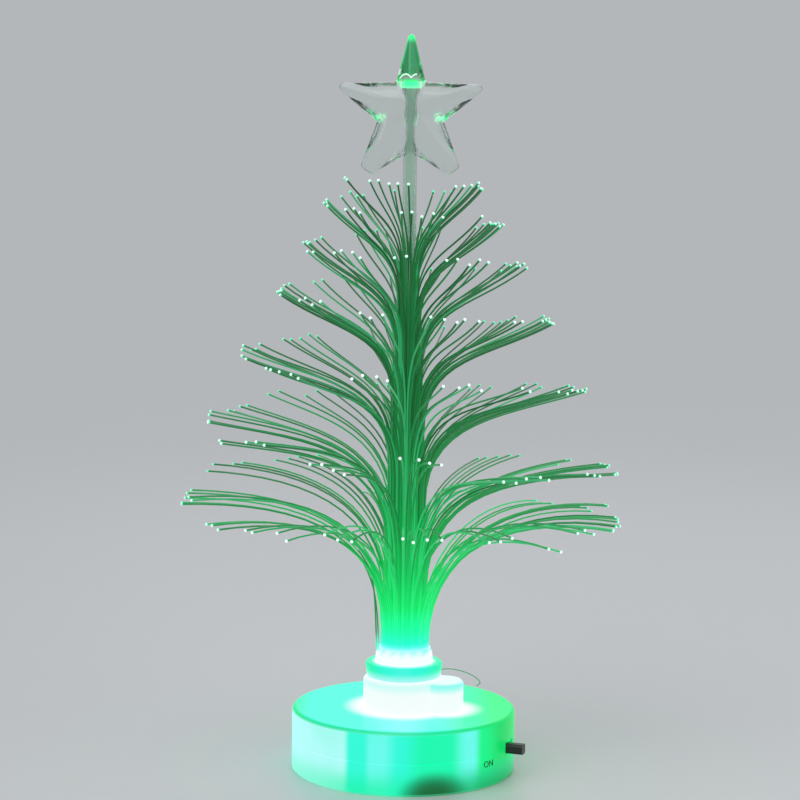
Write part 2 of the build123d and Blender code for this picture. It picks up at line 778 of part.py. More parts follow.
# Centre tube, up the middle of the roll and into the star
with BuildPart() as centre_tube:
    with BuildSketch(Plane.XY.offset(root_z + rest_gap)):
        Circle(rod_d / 2)
        Circle(rod_bore_d / 2, mode=Mode.SUBTRACT)
    extrude(amount=rod_top_z - root_z - rest_gap)
save(centre_tube, "centre_tube")

# Star: two fans of facets meet at a thin edge, with a socket for the tube. The
# arms end blunt, and the notches beside the upper arm draw in, so it is slimmer.
outline = []
for arm, (tip_share, notch_share) in enumerate(zip(star_tip_shares, star_notch_shares)):
    star_tip_angle = math.degrees(star_tip_w * tip_share / 2 / star_r)
    arm_azimuth = 90 + arm * 360 / len(star_notch_shares)
    notch_azimuth = arm_azimuth + 180 / len(star_notch_shares)
    if arm == 0:
        notch_azimuth -= star_slim_angle
    if arm == len(star_notch_shares) - 1:
        notch_azimuth += star_slim_angle
    outline.append(polar_point(star_r, arm_azimuth - star_tip_angle))
    outline.append(polar_point(star_r, arm_azimuth + star_tip_angle))
    outline.append(polar_point(star_r * notch_share, notch_azimuth))
star_plane = Plane(origin=(0, 0, star_centre_z), x_dir=(1, 0, 0), z_dir=(0, -1, 0))
with BuildPart() as star:
    with BuildSketch(star_plane.offset(-star_edge_t / 2)):
        Polygon(*outline, align=None)
    extrude(amount=star_edge_t)
    for side in (-1, 1):
        apex = star_plane.offset(side * star_depth / 2).origin
        rim_plane = star_plane.offset(side * star_edge_t / 2)
        for rim_start, rim_end in zip(outline, outline[1:] + outline[:1]):
            rim_a = rim_plane.from_local_coords(Vector(*rim_start))
            rim_b = rim_plane.from_local_coords(Vector(*rim_end))
            middle = rim_plane.origin
            corners = (middle, rim_a, rim_b, apex)
            faces = []
            for skipped in range(4):
                triangle = [point for index, point in enumerate(corners) if index != skipped]
                faces.append(Face(Wire.make_polygon(triangle, close=True)))
            add(Solid(Shell(faces)))
    # A boss for the tube runs from the lower notch up into the upper arm
    socket_r = rod_d / 2 + fit_gap + socket_wall_t
    with BuildSketch(Plane.XY.offset(star_centre_z - socket_l)):
        Circle(socket_r)
    extrude(amount=rod_top_z + socket_wall_t - star_centre_z + socket_l)
    with BuildSketch(Plane.XY.offset(star_centre_z - socket_l - overrun)):
        Circle(rod_d / 2 + fit_gap)
    extrude(amount=rod_top_z + fit_gap - star_centre_z + socket_l + overrun, mode=Mode.SUBTRACT)
save(star, "star")
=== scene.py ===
import math
import random

import bpy
from mathutils import Matrix, Vector


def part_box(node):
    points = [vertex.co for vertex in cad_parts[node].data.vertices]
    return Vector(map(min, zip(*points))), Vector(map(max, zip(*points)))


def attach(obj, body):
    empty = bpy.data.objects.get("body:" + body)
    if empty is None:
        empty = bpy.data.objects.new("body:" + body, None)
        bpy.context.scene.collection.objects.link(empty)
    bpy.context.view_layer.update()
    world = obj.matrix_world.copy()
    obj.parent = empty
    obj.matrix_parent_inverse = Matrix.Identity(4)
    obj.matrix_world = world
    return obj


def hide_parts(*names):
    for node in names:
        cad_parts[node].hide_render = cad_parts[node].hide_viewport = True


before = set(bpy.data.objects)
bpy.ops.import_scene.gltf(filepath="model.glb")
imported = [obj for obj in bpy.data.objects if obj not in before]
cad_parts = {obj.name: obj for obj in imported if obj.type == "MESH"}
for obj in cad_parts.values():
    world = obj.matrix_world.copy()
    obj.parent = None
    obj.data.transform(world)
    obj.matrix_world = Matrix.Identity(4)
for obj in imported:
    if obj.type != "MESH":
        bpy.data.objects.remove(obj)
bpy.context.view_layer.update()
mm = 0.001


def low_corner(node):
    return Vector(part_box(node)[0])


def high_corner(node):
    return Vector(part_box(node)[1])


# Places read from the CAD frame, in metres. The tree stands on the Z axis and -Y is the front.
base_r = (high_corner("bottom_cover").x - low_corner("bottom_cover").x) / 2
neck_top_z = high_corner("top_shell").z
collar_r = high_corner("ferrule").x
collar_top_z = high_corner("ferrule").z
lamp_low_z = low_corner("led_lamp").z
lamp_high_z = high_corner("led_lamp").z
mat_foot_z = low_corner("fibre_tier_1").z
tube_top_z = high_corner("centre_tube").z
star_top_z = high_corner("star").z
bay_centre = (low_corner("battery_door") + high_corner("battery_door")) / 2

# Shape of the base that the CAD boxes don't give
base_top_z = 17 * mm
neck_r = 10.85 * mm
boss_place = (10.4 * mm, -4.2 * mm)
boss_r = 5.6 * mm

# Arch-shaped shadow that the flat cell by the wall throws at the bottom of the front
cell_shadow_x = 7.9 * mm
cell_shadow_r = 8.5 * mm
cell_shadow_h = 6 * mm

# Rolled fibre mat, as in the part's source
fibre_d = 0.5 * mm
fibre_count = 300
roll_turns = 6.8
roll_outer_r = 6.6 * mm
roll_inner_r = 2.25 * mm
roll_start_azimuth = 110
strip_h = 5 * mm
fibre_spread_r = 60 * mm
fibre_reach = 131 * mm
bend_drop_low = 0.262 * fibre_reach
bend_drop_high = 0.183 * fibre_reach
tip_wander = 0.9 * mm
clump_counts = (2, 5)
clump_wander = 2.4 * mm
clump_out_share = 0.45
clump_pull_share = 0.5
tip_radius_shares = (0.975, 0.985, 0.865, 0.715, 0.57, 0.46, 0.365, 0.30)
tip_height_shares = (0.275, 0.368, 0.525, 0.662, 0.782, 0.874, 0.955, 0.995)
tip_slope_angles = (-9, 1, 14, 26, 36, 43, 49, 52)
bend_pull_share = 0.44

# How the fibres are drawn, and the bead of light on each cut end
fibre_sides = 6
bend_steps = 14
bead_r = 0.4 * mm
bead_l = 0.8 * mm
bead_shares = (-0.8, -0.6, -0.3, -0.02)
bead_end_share = 0.5
bead_sides = 8

# Clear star, with the outline of the part's source
star_centre_z = 176.1 * mm
star_r = 19.7 * mm
star_tip_ws = (1.8 * mm, 2.2 * mm, 4.2 * mm, 4.2 * mm, 2.2 * mm)
star_notch_shares = (0.42, 0.47, 0.54, 0.47, 0.42)
star_slim_angle = 8
star_depth = 9 * mm
star_edge_t = 1.6 * mm
socket_r = 2.9 * mm
socket_low_z = 165.1 * mm
socket_high_z = 184.95 * mm
bore_r = 1.95 * mm
bore_high_z = 184.1 * mm

# How the star is drawn: its arms end in round corners and its faces are puffed up
star_round_r = 0.9 * mm
corner_angle = 75
corner_step_angle = 15
star_rings = 12
puff_power = 1.6
puff_root = 0.75
socket_sides = 32
bore_sides = 48
bore_overrun = 1 * mm
star_voxel = 0.3 * mm
star_smoothing = 8
star_crease_angle = 50

# Three stray strands, each with its radius and the corners of its line in millimetres:
# one loops out beside the neck, and two stand off the bundle at the left
stray_steps = 6
strays = {
    "stray_loop": (
        0.14 * mm,
        (
            (8.0, 5.8, 25.2),
            (10.6, 5.0, 25.7),
            (13.6, 4.0, 25.9),
            (17.4, 2.6, 25.2),
            (19.9, 1.2, 24.0),
            (20.6, 0.4, 23.0),
            (19.6, 0, 22.4),
        ),
    ),
    "stray_strand": (
        0.22 * mm,
        (
            (-7.15, -1.0, 30),
            (-7.5, -1.1, 36),
            (-7.9, -1.2, 44),
            (-8.5, -1.4, 50),
            (-9.8, -1.8, 55),
            (-12.5, -2.4, 59.5),
        ),
    ),
    "stray_strand_2": (
        0.2 * mm,
        (
            (-6.8, 0.6, 30),
            (-7.0, 0.7, 36),
            (-7.5, 0.8, 43),
            (-8.6, 1.0, 49),
            (-10.8, 1.4, 54.5),
            (-14.2, 2.0, 59),
        ),
    ),
}

# A plain ON beside the switch, where the photo shows a small dark mark
mark_azimuth = math.radians(-41.7)
mark_z = 5.6 * mm
mark_h = 2.4 * mm
mark_t = 0.1 * mm

# Stage: radius and height along the floor and up the round backdrop, in metres
stage_profile = ((0, 0), (0.7, 0), (1.0, 0.03), (1.25, 0.14), (1.4, 0.34), (1.45, 0.6), (1.45, 2.4))
stage_sides = 72
even_start_r = 0.35
even_full_r = 0.9

# Lamps: place in metres and power in watts
lamps = {
    "key_light": ((-0.55, -0.65, 0.95), 7),
    "fill_light": ((0.8, -0.5, 0.6), 3),
    "back_light": ((0.2, 0.8, 0.9), 4),
}
lamp_size = 1.1
lamp_target = Vector((0, 0, 0.08))
world_strength = 0.45

# Camera at the photo's place: level with the upper tiers and pitched a little down.
# The photo leans a little: the roll tips the tree to the right.
camera_place = (-0.0019, -0.5935, 0.1648)
camera_lens = 101.05
camera_sensor_w = 36
camera_clip = 0.01
camera_pitch_angle = 6.265
camera_roll_angle = 0.69

# Colours of the lamp's light in the plastic, from the hottest to the darkest
white_hot = (0.92, 1.0, 0.99)
pale_cyan = (0.45, 1.0, 0.98)
cyan_glow = (0.15, 0.99, 0.88)
mint_glow = (0.03, 0.98, 0.72)
sea_glow = (0.006, 0.97, 0.45)
green_glow = (0.001, 0.93, 0.24)
leaf_green = (0.002, 0.7, 0.13)
deep_green = (0.003, 0.3, 0.05)
shade_green = (0.006, 0.12, 0.028)
black = (0.0, 0.0, 0.0)

# Other colours of the clear and the lit plastic
under_green = (0.3, 0.78, 0.52)
strand_clear = (0.07, 0.36, 0.17)
strand_bright = (0.1, 1.0, 0.45)
star_clear = (0.9, 0.96, 0.93)
star_arm_lit_green = (0.05, 0.38, 0.16)
star_light = (0.02, 0.9, 0.25)
star_highlight = (0.7, 1.0, 0.82)
tube_clear = (0.75, 0.92, 0.82)
tube_end_lit_green = (0.15, 0.7, 0.35)
tube_end_light = (0.02, 0.85, 0.22)
floor_grey = (0.62, 0.63, 0.64)
backdrop_grey = (0.456, 0.473, 0.49)
sky_white = (0.9, 0.95, 1.0)

# Light round the base's wall by azimuth. A pillar and the switch shade it.
wall_bands = (
    (-180, cyan_glow),
    (-165, pale_cyan),
    (-121.5, pale_cyan),
    (-117.5, mint_glow),
    (-110, mint_glow),
    (-106, cyan_glow),
    (-101, cyan_glow),
    (-92, mint_glow),
    (-78, sea_glow),
    (-66, sea_glow),
    (-56, cyan_glow),
    (-52.5, cyan_glow),
    (-46.5, green_glow),
    (-30, leaf_green),
    (-10, leaf_green),
    (20, green_glow),
    (50, sea_glow),
    (60, leaf_green),
    (70, sea_glow),
    (120, mint_glow),
    (165, cyan_glow),
    (180, cyan_glow),
)

# Light across the base's top face, from its left edge to its right
top_bands = (
    (0.0, sea_glow),
    (0.1, mint_glow),
    (0.3, mint_glow),
    (0.5, cyan_glow),
    (0.64, mint_glow),
    (0.78, sea_glow),
    (0.92, green_glow),
)

# Light across the ferrule, from its left edge to its right
collar_bands = (
    (0.0, sea_glow),
    (0.3, mint_glow),
    (0.5, (0.06, 0.98, 0.78)),
    (0.7, mint_glow),
    (1.0, sea_glow),
)

# Light in the fibres, by the share of their height above the collar
fibre_bands = (
    (0.0, white_hot),
    (0.026, (0.7, 1.0, 0.98)),
    (0.033, cyan_glow),
    (0.041, (0.015, 0.98, 0.64)),
    (0.07, (0.004, 0.96, 0.36)),
    (0.12, (0.002, 0.78, 0.15)),
    (0.2, (0.005, 0.56, 0.1)),
    (0.34, (0.007, 0.32, 0.065)),
    (0.5, (0.008, 0.19, 0.042)),
    (1.0, (0.01, 0.15, 0.038)),
)


# Shader helpers
def new_material(name, **values):
    """A Principled material with constants set on its own sockets."""
    material = bpy.data.materials.new(name)
    material.use_nodes = True
    shader = material.node_tree.nodes["Principled BSDF"]
    for socket, value in values.items():
        shader.inputs[socket.replace("_", " ")].default_value = value
    return material, material.node_tree, shader


def place(tree):
    """The X, Y and Z outputs of a point's place on its object."""
    coordinates = tree.nodes.new("ShaderNodeTexCoord")
    split = tree.nodes.new("ShaderNodeSeparateXYZ")
    tree.links.new(coordinates.outputs["Object"], split.inputs[0])
    return split.outputs


def calc(tree, operation, *values, clamp=False):
    """A Math node; each value is a number or the output of another node."""
    node = tree.nodes.new("ShaderNodeMath")
    node.operation = operation
    node.use_clamp = clamp
    for socket, value in zip(node.inputs, values):
        if isinstance(value, (int, float)):
            socket.default_value = value
        else:
            tree.links.new(value, socket)
    return node.outputs[0]


def product(tree, *values):
    result = values[0]
    for value in values[1:]:
        result = calc(tree, "MULTIPLY", result, value)
    return result


def total(tree, *values):
    result = values[0]
    for value in values[1:]:
        result = calc(tree, "ADD", result, value)
    return result


def minus(tree, first, second):
    return calc(tree, "SUBTRACT", first, second)


def one_minus(tree, value):
    return calc(tree, "SUBTRACT", 1.0, value)


def scaled(tree, value, factor, offset):
    """The value times a factor, with an offset added."""
    return total(tree, product(tree, value, factor), offset)


def apart(tree, value, centre):
    """How far a value is from a centre, either way."""
    return calc(tree, "ABSOLUTE", minus(tree, value, centre))


def squares(tree, first, second):
    """The sum of the squares of two values."""
    return total(tree, product(tree, first, first), product(tree, second, second))


def distance_from(tree, first, second, centre):
    """Distance of a point from a centre in one plane."""
    offsets = minus(tree, first, centre[0]), minus(tree, second, centre[1])
    return calc(tree, "SQRT", squares(tree, *offsets))


def fade(tree, value, start, end):
    """0 before start, 1 after end, smooth between them."""
    node = tree.nodes.new("ShaderNodeMapRange")
    node.interpolation_type = "SMOOTHSTEP"
    tree.links.new(value, node.inputs["Value"])
    node.inputs["From Min"].default_value = start
    node.inputs["From Max"].default_value = end
    return node.outputs["Result"]


def fall(tree, value, start, end):
    """1 before start, 0 after end, smooth between them."""
    return one_minus(tree, fade(tree, value, start, end))


def ramp(tree, value, stops, interpolation="EASE"):
    """A colour for each place along 0 to 1."""
    node = tree.nodes.new("ShaderNodeValToRGB")
    node.color_ramp.interpolation = interpolation
    elements = node.color_ramp.elements
    while len(elements) < len(stops):
        elements.new(0.5)
    for element, (position, colour) in zip(elements, stops):
        element.position = position
        element.color = (*colour, 1)
    tree.links.new(value, node.inputs[0])
    return node.outputs["Color"]


def mix(tree, factor, first, second, blend="MIX"):
    """Two colours mixed; each is a colour or the output of another node."""
    node = tree.nodes.new("ShaderNodeMix")
    node.data_type = "RGBA"
    node.blend_type = blend
    for socket, value in zip((node.inputs[0], node.inputs[6], node.inputs[7]), (factor, first, second)):
        if isinstance(value, (int, float)):
            socket.default_value = value
        elif isinstance(value, tuple):
            socket.default_value = (*value, 1)
        else:
            tree.links.new(value, socket)
    return node.outputs[2]


def dimmed(tree, colour, share):
    """A share of a colour."""
    return mix(tree, 1.0, colour, (share,) * 3, "MULTIPLY")


def noise(tree, scale, detail=2):
    """Smooth noise over the object, about 0 to 1."""
    coordinates = tree.nodes.new("ShaderNodeTexCoord")
    node = tree.nodes.new("ShaderNodeTexNoise")
    node.inputs["Scale"].default_value = scale
    node.inputs["Detail"].default_value = detail
    tree.links.new(coordinates.outputs["Object"], node.inputs["Vector"])
    return node.outputs["Fac"]


def bump(tree, shader, height, strength, distance):
    node = tree.nodes.new("ShaderNodeBump")
    node.inputs["Strength"].default_value = strength
    node.inputs["Distance"].default_value = distance
    tree.links.new(height, node.inputs["Height"])
    tree.links.new(node.outputs["Normal"], shader.inputs["Normal"])


def give_off(tree, shader, colour, strength):
    """The surface gives off the colour."""
    tree.links.new(colour, shader.inputs["Emission Color"])
    shader.inputs["Emission Strength"].default_value = strength


def shine(tree, shader, colour, strength, body_share):
    """The surface gives off the colour, and its own colour is a share of it."""
    give_off(tree, shader, colour, strength)
    tree.links.new(dimmed(tree, colour, body_share), shader.inputs["Base Color"])


def azimuth_share(degrees):
    """Where an azimuth from -180 to 180 degrees falls along 0 to 1."""
    return (degrees + 180) / 360


def side_share(tree, x, half_width):
    """Where a point falls from the left edge to the right one, along 0 to 1."""
    return total(tree, calc(tree, "DIVIDE", x, 2 * half_width), 0.5)


def darker(colour, share):
    return tuple(channel * share for channel in colour)


# Base plastic: translucent white, lit green from inside
def wall_light(tree, x, y, z):
    """Light in the wall: bands by azimuth, with less at the bottom and least at the right."""
    turn = total(tree, calc(tree, "DIVIDE", calc(tree, "ARCTAN2", y, x), 2 * math.pi), 0.5)
    wall = ramp(tree, turn, [(azimuth_share(azimuth), colour) for azimuth, colour in wall_bands])
    # Uneven light in the moulding
    cloud = fade(tree, noise(tree, 90, 1), 0.35, 0.75)
    wall = mix(tree, product(tree, cloud, 0.16), wall, sea_glow)
    low = fall(tree, z, 1.2 * mm, 8 * mm)
    off_left = fade(tree, x, -26 * mm, -10 * mm)
    wall = mix(tree, product(tree, low, scaled(tree, off_left, 0.35, 0.45)), wall, sea_glow)
    foot = fall(tree, z, 0, 8 * mm)
    right = fade(tree, x, -4 * mm, 27 * mm)
    return mix(tree, product(tree, foot, scaled(tree, right, 0.76, 0.04)), wall, deep_green)


def cell_shadow(tree, x, y, z):
    """1 in the middle of the flat cell's shadow, 0 outside it."""
    across = calc(tree, "DIVIDE", minus(tree, x, cell_shadow_x), cell_shadow_r)
    up = calc(tree, "DIVIDE", z, cell_shadow_h)
    in_front = fade(tree, product(tree, y, -1.0), 0, 10 * mm)
    return product(tree, fall(tree, squares(tree, across, up), 0.0, 1.5), in_front)


def facing_down(tree, z):
    """1 on the underside, 0 elsewhere."""
    facing = tree.nodes.new("ShaderNodeSeparateXYZ")
    tree.links.new(tree.nodes.new("ShaderNodeNewGeometry").outputs["Normal"], facing.inputs[0])
    down = fade(tree, product(tree, facing.outputs["Z"], -1.0), 0.6, 0.9)
    return product(tree, down, fall(tree, z, 3 * mm, 4 * mm))


def shoulder_shade(tree, z):
    """Painted shade along the round shoulder, where its curve bends the lamp's light away: a fine darker
    line.
    """
    start = fade(tree, z, base_top_z - 1.1 * mm, base_top_z - 0.6 * mm)
    end = fall(tree, z, base_top_z - 0.3 * mm, base_top_z - 0.05 * mm)
    return product(tree, start, end, 0.6)


def lamp_glow(tree, x, y, z):
    """The lamp's light in the neck and the side boss, and on the top round them."""
    from_neck = minus(tree, distance_from(tree, x, y, (0, -1.5 * mm)), neck_r)
    from_boss = minus(tree, distance_from(tree, x, y, boss_place), boss_r)
    glow = fall(tree, calc(tree, "MINIMUM", from_neck, from_boss), 0.5 * mm, 6.5 * mm)
    above = fade(tree, z, base_top_z - 0.6 * mm, base_top_z - 0.1 * mm)
    return product(tree, glow, above)


def cool_rims(tree, x, y, z):
    """The lamp's light, a little cooler in the rims of the neck and the whole top of the boss."""
    rim = fade(tree, z, neck_top_z - 3.5 * mm, neck_top_z - 0.8 * mm)
    flat = fade(tree, z, neck_top_z - 0.6 * mm, neck_top_z - 0.1 * mm)
    rim = product(tree, rim, one_minus(tree, product(tree, flat, 0.75)))
    off_neck = fade(tree, distance_from(tree, x, y, (0, 0)), neck_r - 0.2 * mm, neck_r + 0.8 * mm)
    return product(tree, rim, scaled(tree, off_neck, 0.5, 0.3))


def base_material():
    material, tree, shader = new_material("lit_base_plastic", Roughness=0.3, IOR=1.49, Specular_IOR_Level=0.3)
    x, y, z = place(tree)
    under = facing_down(tree, z)
    shadow = product(tree, cell_shadow(tree, x, y, z), one_minus(tree, under), 0.97)
    wall = mix(tree, shadow, wall_light(tree, x, y, z), shade_green)
    top = ramp(tree, side_share(tree, x, base_r), top_bands)
    colour = mix(tree, fade(tree, z, base_top_z - 1.3 * mm, base_top_z - 0.3 * mm), wall, top)
    # Painted shade: a fine darker line along the round shoulder
    colour = mix(tree, shoulder_shade(tree, z), colour, leaf_green)
    colour = mix(tree, lamp_glow(tree, x, y, z), colour, white_hot)
    colour = mix(tree, cool_rims(tree, x, y, z), colour, cyan_glow)
    # The underside faces away from the lamp: it gives off little light, and least over the bay
    over_bay = fall(tree, distance_from(tree, x, y, bay_centre), 9 * mm, 16 * mm)
    dim = mix(tree, product(tree, over_bay, 0.6), dimmed(tree, colour, 0.3), black)
    give_off(tree, shader, mix(tree, under, colour, dim), 0.93)
    body = mix(tree, under, dimmed(tree, colour, 0.05), under_green)
    tree.links.new(body, shader.inputs["Base Color"])
    return material


# Fibres: brightest at the root, dimmer up the trunk and along each strand
def strand_material():
    material, tree, shader = new_material("lit_fibre", Roughness=0.2, IOR=1.49)
    x, y, z = place(tree)
    height = calc(tree, "DIVIDE", minus(tree, z, collar_top_z), fibre_reach)
    colour = ramp(tree, height, fibre_bands, interpolation="LINEAR")
    # Away from the trunk the clear plastic shows more than the light in it
    outward = fade(tree, distance_from(tree, x, y, (0, 0)), 10 * mm, 58 * mm)
    colour = mix(tree, product(tree, outward, 0.3), colour, strand_clear)
    # Some strands carry less light than the ones beside them, but not at the root
    strand_share = tree.nodes.new("ShaderNodeNewGeometry").outputs["Random Per Island"]
    unlike = scaled(tree, fade(tree, height, 0.06, 0.3), 0.85, 0.15)
    dim = mix(tree, 1.0, colour, (0.3, 0.34, 0.32), "MULTIPLY")
    colour = mix(tree, product(tree, strand_share, 0.9, unlike), colour, dim)
    # A few carry more
    bright = product(tree, fall(tree, strand_share, 0.02, 0.22), 0.16)
    shine(tree, shader, mix(tree, bright, colour, strand_bright), 0.92, 0.22)
    return material


def tip_material(name, colour):
    material, tree, shader = new_material(name, Roughness=0.3)
    shine(tree, shader, mix(tree, noise(tree, 2000), darker(colour, 0.9), colour), 1.0, 0.3)
    return material


def stray_material():
    material, tree, shader = new_material("stray_fibre", Roughness=0.3, IOR=1.49)
    x, y, z = place(tree)
    body = mix(tree, noise(tree, 700), (0.04, 0.34, 0.14), (0.05, 0.42, 0.17))
    tree.links.new(body, shader.inputs["Base Color"])
    # A strand that stands in the glue is lit at its foot
    foot = fall(tree, z, collar_top_z + 3 * mm, collar_top_z + 9 * mm)
    by_glue = fall(tree, distance_from(tree, x, y, (0, 0)), 8 * mm, 9.5 * mm)
    give_off(tree, shader, mix(tree, product(tree, foot, by_glue), black, mint_glow), 0.8)
    return material


def glue_material():
    material, tree, shader = new_material("frosted_glue", Roughness=0.5)
    z = place(tree)["Z"]
    blotches = noise(tree, 500)
    height = calc(tree, "DIVIDE", minus(tree, z, collar_top_z), 4 * mm)
    edge = fade(tree, total(tree, height, product(tree, blotches, 0.8)), 0.9, 1.6)
    # Painted light: the glue glows white with the lamp's light, cyan towards its blotchy upper edge
    shine(tree, shader, mix(tree, edge, white_hot, cyan_glow), 0.9, 0.15)
    bump(tree, shader, blotches, 0.5, 0.4 * mm)
    return material


def ferrule_material():
    material, tree, shader = new_material("lit_ferrule", Roughness=0.3, IOR=1.49, Specular_IOR_Level=0.3)
    x, y, z = place(tree)
    colour = ramp(tree, side_share(tree, x, collar_r), collar_bands)
    foot = fall(tree, z, collar_top_z - 4.2 * mm, collar_top_z - 1.2 * mm)
    colour = mix(tree, foot, colour, pale_cyan)
    inside = fall(tree, distance_from(tree, x, y, (0, 0)), 7.5 * mm, 9 * mm)
    colour = mix(tree, product(tree, inside, 0.8), colour, white_hot)
    shine(tree, shader, colour, 0.9, 0.05)
    return material


# Star: clear, with light in its upper arm, in its socket and in its side notches
def arm_strength(tree, far_side, z, edge_light):
    """Light in the upper arm: a little along its ridge and edges, and more at its end."""
    ridge = fall(tree, far_side, 0.2 * mm, 0.9 * mm)
    end = fade(tree, z, star_top_z - 2.6 * mm, star_top_z - 0.6 * mm)
    lines = total(tree, product(tree, ridge, 0.1), edge_light, product(tree, end, 0.6))
    return calc(tree, "ADD", 0.015, lines, clamp=True)


def socket_band(tree, far_side, z):
    """A bright uneven band where the tube ends in its socket."""
    band = fall(tree, apart(tree, z, tube_top_z - 1.4 * mm), 0.7 * mm, 1.1 * mm)
    socket = fall(tree, far_side, 2.6 * mm, 3 * mm)
    uneven = scaled(tree, noise(tree, 900), 0.7, 0.45)
    return product(tree, band, socket, uneven, 0.6)


def notch_glints(tree, far_side, z, left):
    """Flecks of light in the two side notches, more in the right one."""
    notch_place = (7.5 * mm, star_centre_z - 2.0 * mm)
    notch = fall(tree, distance_from(tree, far_side, z, notch_place), 0.8 * mm, 1.9 * mm)
    flecks = fade(tree, noise(tree, 1400), 0.4, 0.6)
    return product(tree, notch, flecks, minus(tree, 0.85, product(tree, left, 0.4)))


def mouth_highlight(tree, x, y, z):
    """Painted highlight where the tube's mouth catches the light: a thin white line with two humps above the
    band.
    """
    from_peak = minus(tree, calc(tree, "ABSOLUTE", x), 1.4 * mm)
    drop = product(tree, from_peak, from_peak, 0.43 / mm)
    line = fall(tree, apart(tree, total(tree, z, drop), tube_top_z + 1.35 * mm), 0.12 * mm, 0.3 * mm)
    within = product(tree, fade(tree, x, -3.2 * mm, -2.8 * mm), fall(tree, x, 1.3 * mm, 1.7 * mm))
    in_front = fade(tree, product(tree, y, -1.0), 0, 1 * mm)
    return product(tree, line, within, in_front)


def star_material():
    material, tree, shader = new_material(
        "clear_star", Roughness=0.1, IOR=1.45, Transmission_Weight=1.0, Specular_IOR_Level=0.25
    )
    x, y, z = place(tree)
    far_side = calc(tree, "ABSOLUTE", x)
    left = fall(tree, x, -1 * mm, 1 * mm)
    arm = fade(tree, z, tube_top_z - 0.5 * mm, tube_top_z + 1.5 * mm)
    narrow = fall(tree, far_side, 2 * mm, 5 * mm)
    # The upper arm widens downwards, and its edges are lit, the left one more
    half_width = scaled(tree, minus(tree, star_top_z, z), 0.24, 0.9 * mm)
    edge = fade(tree, minus(tree, far_side, half_width), -0.8 * mm, -0.2 * mm)
    edge_light = product(tree, edge, scaled(tree, left, 0.2, 0.2))
    light = product(tree, arm, narrow, arm_strength(tree, far_side, z, edge_light))
    light = calc(tree, "MAXIMUM", light, socket_band(tree, far_side, z))
    light = calc(tree, "MAXIMUM", light, notch_glints(tree, far_side, z, left))
    colour = mix(tree, light, black, star_light)
    # Above the left end of the tube's mouth the arm's edge catches the light
    fleck = fall(tree, apart(tree, z, tube_top_z + 2.0 * mm), 0.5 * mm, 1.0 * mm)
    fleck = product(tree, fleck, edge, left, narrow)
    # Painted highlights in white: on the tube's mouth and on the arm's edge above it
    line = calc(tree, "MAXIMUM", mouth_highlight(tree, x, y, z), fleck)
    give_off(tree, shader, mix(tree, line, colour, star_highlight), 0.9)
    # Painted light: the upper arm is tinted green where the tube's light fills it
    tree.links.new(mix(tree, arm, star_clear, star_arm_lit_green), shader.inputs["Base Color"])
    return material


def tube_material():
    material, tree, shader = new_material("clear_tube", Roughness=0.1, IOR=1.45, Transmission_Weight=0.9)
    # Painted light: the tube's end glows with the light it carries up, and its clear plastic is tinted green
    # there
    end = fade(tree, place(tree)["Z"], tube_top_z - 2 * mm, tube_top_z - 1.4 * mm)
    give_off(tree, shader, mix(tree, end, black, tube_end_light), 0.3)
    tree.links.new(mix(tree, end, tube_clear, tube_end_lit_green), shader.inputs["Base Color"])
    return material


def grained(name, shade, colour, roughness, grain_scale=700, metallic=0.0):
    """A surface whose colour varies in a fine grain."""
    material, tree, shader = new_material(name, Roughness=roughness, Metallic=metallic)
    tree.links.new(mix(tree, noise(tree, grain_scale), shade, colour), shader.inputs["Base Color"])
    return material


def plain(name, colour, roughness, metallic=0.0):
    return grained(name, darker(colour, 0.82), colour, roughness, metallic=metallic)


def lamp_material():
    material, tree, shader = new_material("lit_lamp", Roughness=0.15, IOR=1.5)
    up = fade(tree, place(tree)["Z"], lamp_low_z, lamp_high_z)
    shine(tree, shader, mix(tree, up, mint_glow, white_hot), 0.9, 0.3)
    return material


def floor_material():
    """A pale floor. Further out one even colour shows, with no edge where a lamp's light ends."""
    material, tree, shader = new_material("pale_floor", Roughness=0.4)
    shader.inputs["Base Color"].default_value = (*floor_grey, 1)
    x, y, z = place(tree)
    far = fade(tree, distance_from(tree, x, y, (0, 0)), even_start_r, even_full_r)
    rays = tree.nodes.new("ShaderNodeLightPath").outputs
    seen = total(tree, rays["Is Camera Ray"], rays["Is Transmission Ray"])
    seen = calc(tree, "ADD", seen, rays["Is Glossy Ray"], clamp=True)
    even = tree.nodes.new("ShaderNodeEmission")
    even.inputs["Color"].default_value = (*backdrop_grey, 1)
    surface = tree.nodes.new("ShaderNodeMixShader")
    tree.links.new(product(tree, far, seen), surface.inputs[0])
    tree.links.new(shader.outputs[0], surface.inputs[1])
    tree.links.new(even.outputs[0], surface.inputs[2])
    tree.links.new(surface.outputs[0], tree.nodes["Material Output"].inputs["Surface"])
    return material


